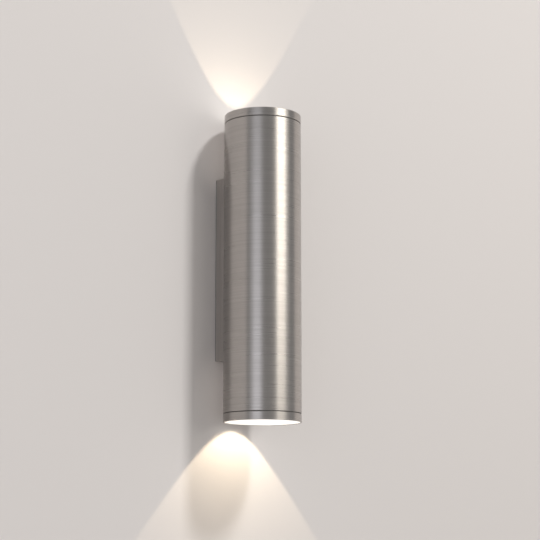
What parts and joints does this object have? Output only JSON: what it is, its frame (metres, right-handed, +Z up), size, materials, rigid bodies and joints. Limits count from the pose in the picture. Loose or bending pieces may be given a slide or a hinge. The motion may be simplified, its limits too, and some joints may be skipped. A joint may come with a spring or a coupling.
{
  "type": "tube wall light",
  "caption": "Round brushed steel tube held upright off the wall by a narrow box housing, lit through a flush lens in a screw-on ring at its top and bottom.",
  "frame": {"origin": "on the wall face, at the middle of the pattern of wall screws, level with the middle of the tube", "axes": "+Y into the wall, +Z up along the tube, +X to the right along the wall seen from the room"},
  "size_m": [0.075, 0.08, 0.3],
  "materials": {
    "brushed_steel": "satin, fine brush lines round the tube",
    "zinc_steel": "zinc plated sheet",
    "screw_steel": "zinc plated",
    "silicone": "matt black silicone",
    "foam_rubber": "closed cell foam",
    "clear_silicone": "translucent silicone",
    "block_plastic": "moulded polyamide",
    "brass": "machined",
    "tinned_brass": "tinned",
    "lead_insulation": "silicone sleeving",
    "earth_insulation": "green and yellow PVC",
    "ceramic": "steatite, unglazed",
    "lamp_plastic": "heat conducting white plastic",
    "lamp_optic": "clear moulded optic",
    "lit_glass": "etched inside, lit white"
  },
  "bodies": {
    "body": {"body_tube": "brushed_steel", "rear_housing": "brushed_steel", "saddle_gasket": "silicone", "wall_gasket": "foam_rubber", "wall_bracket": "zinc_steel", "housing_screws": "screw_steel", "tube_screws": "screw_steel", "clinch_nuts": "screw_steel", "inner_chassis": "zinc_steel", "lampholder_screws": "screw_steel", "lampholder_nuts": "screw_steel", "cable_grommet": "silicone", "terminal_block": "block_plastic", "terminal_tubes": "brass", "terminal_screws": "screw_steel", "upper_leads": "lead_insulation", "lower_leads": "lead_insulation", "earth_lead": "earth_insulation", "earth_tag": "tinned_brass", "earth_screw": "screw_steel", "upper_lampholder": "ceramic", "lower_lampholder": "ceramic"},
    "upper_gasket": {"upper_ring_gasket": "silicone"},
    "upper_ring": {"upper_end_ring": "brushed_steel", "upper_lens": "lit_glass", "upper_lens_seal": "clear_silicone"},
    "upper_lamp": {"upper_lamp_body": "lamp_plastic", "upper_lamp_front": "lamp_optic", "upper_lamp_base": "lamp_plastic", "upper_lamp_pins": "brass"},
    "lower_gasket": {"lower_ring_gasket": "silicone"},
    "lower_ring": {"lower_end_ring": "brushed_steel", "lower_lens": "lit_glass", "lower_lens_seal": "clear_silicone"},
    "lower_lamp": {"lower_lamp_body": "lamp_plastic", "lower_lamp_front": "lamp_optic", "lower_lamp_base": "lamp_plastic", "lower_lamp_pins": "brass"}
  },
  "joints": [
    {"name": "upper_ring_travel", "type": "slide", "parent": "body", "child": "upper_gasket", "axis": [0, 0, 1], "range_m": [0, 0.009]},
    {"name": "upper_ring_turn", "type": "hinge", "parent": "upper_gasket", "child": "upper_ring", "pos_m": [0, -0.0425, 0.145], "axis": [0, 0, 1], "range_deg": [0, 2160]},
    {"name": "upper_lamp_twist", "type": "hinge", "parent": "body", "child": "upper_lamp", "pos_m": [0, -0.0425, 0.086], "axis": [0, 0, 1], "range_deg": [0, 40]},
    {"name": "lower_ring_travel", "type": "slide", "parent": "body", "child": "lower_gasket", "axis": [0, 0, -1], "range_m": [0, 0.009]},
    {"name": "lower_ring_turn", "type": "hinge", "parent": "lower_gasket", "child": "lower_ring", "pos_m": [0, -0.0425, -0.145], "axis": [0, 0, -1], "range_deg": [0, 2160]},
    {"name": "lower_lamp_twist", "type": "hinge", "parent": "body", "child": "lower_lamp", "pos_m": [0, -0.0425, -0.086], "axis": [0, 0, -1], "range_deg": [0, 40]}
  ],
  "couplings": [
    {"joint": "upper_ring_travel", "follows": "upper_ring_turn", "m_per_rad": 0.00023873},
    {"joint": "lower_ring_travel", "follows": "lower_ring_turn", "m_per_rad": 0.00023873}
  ]
}
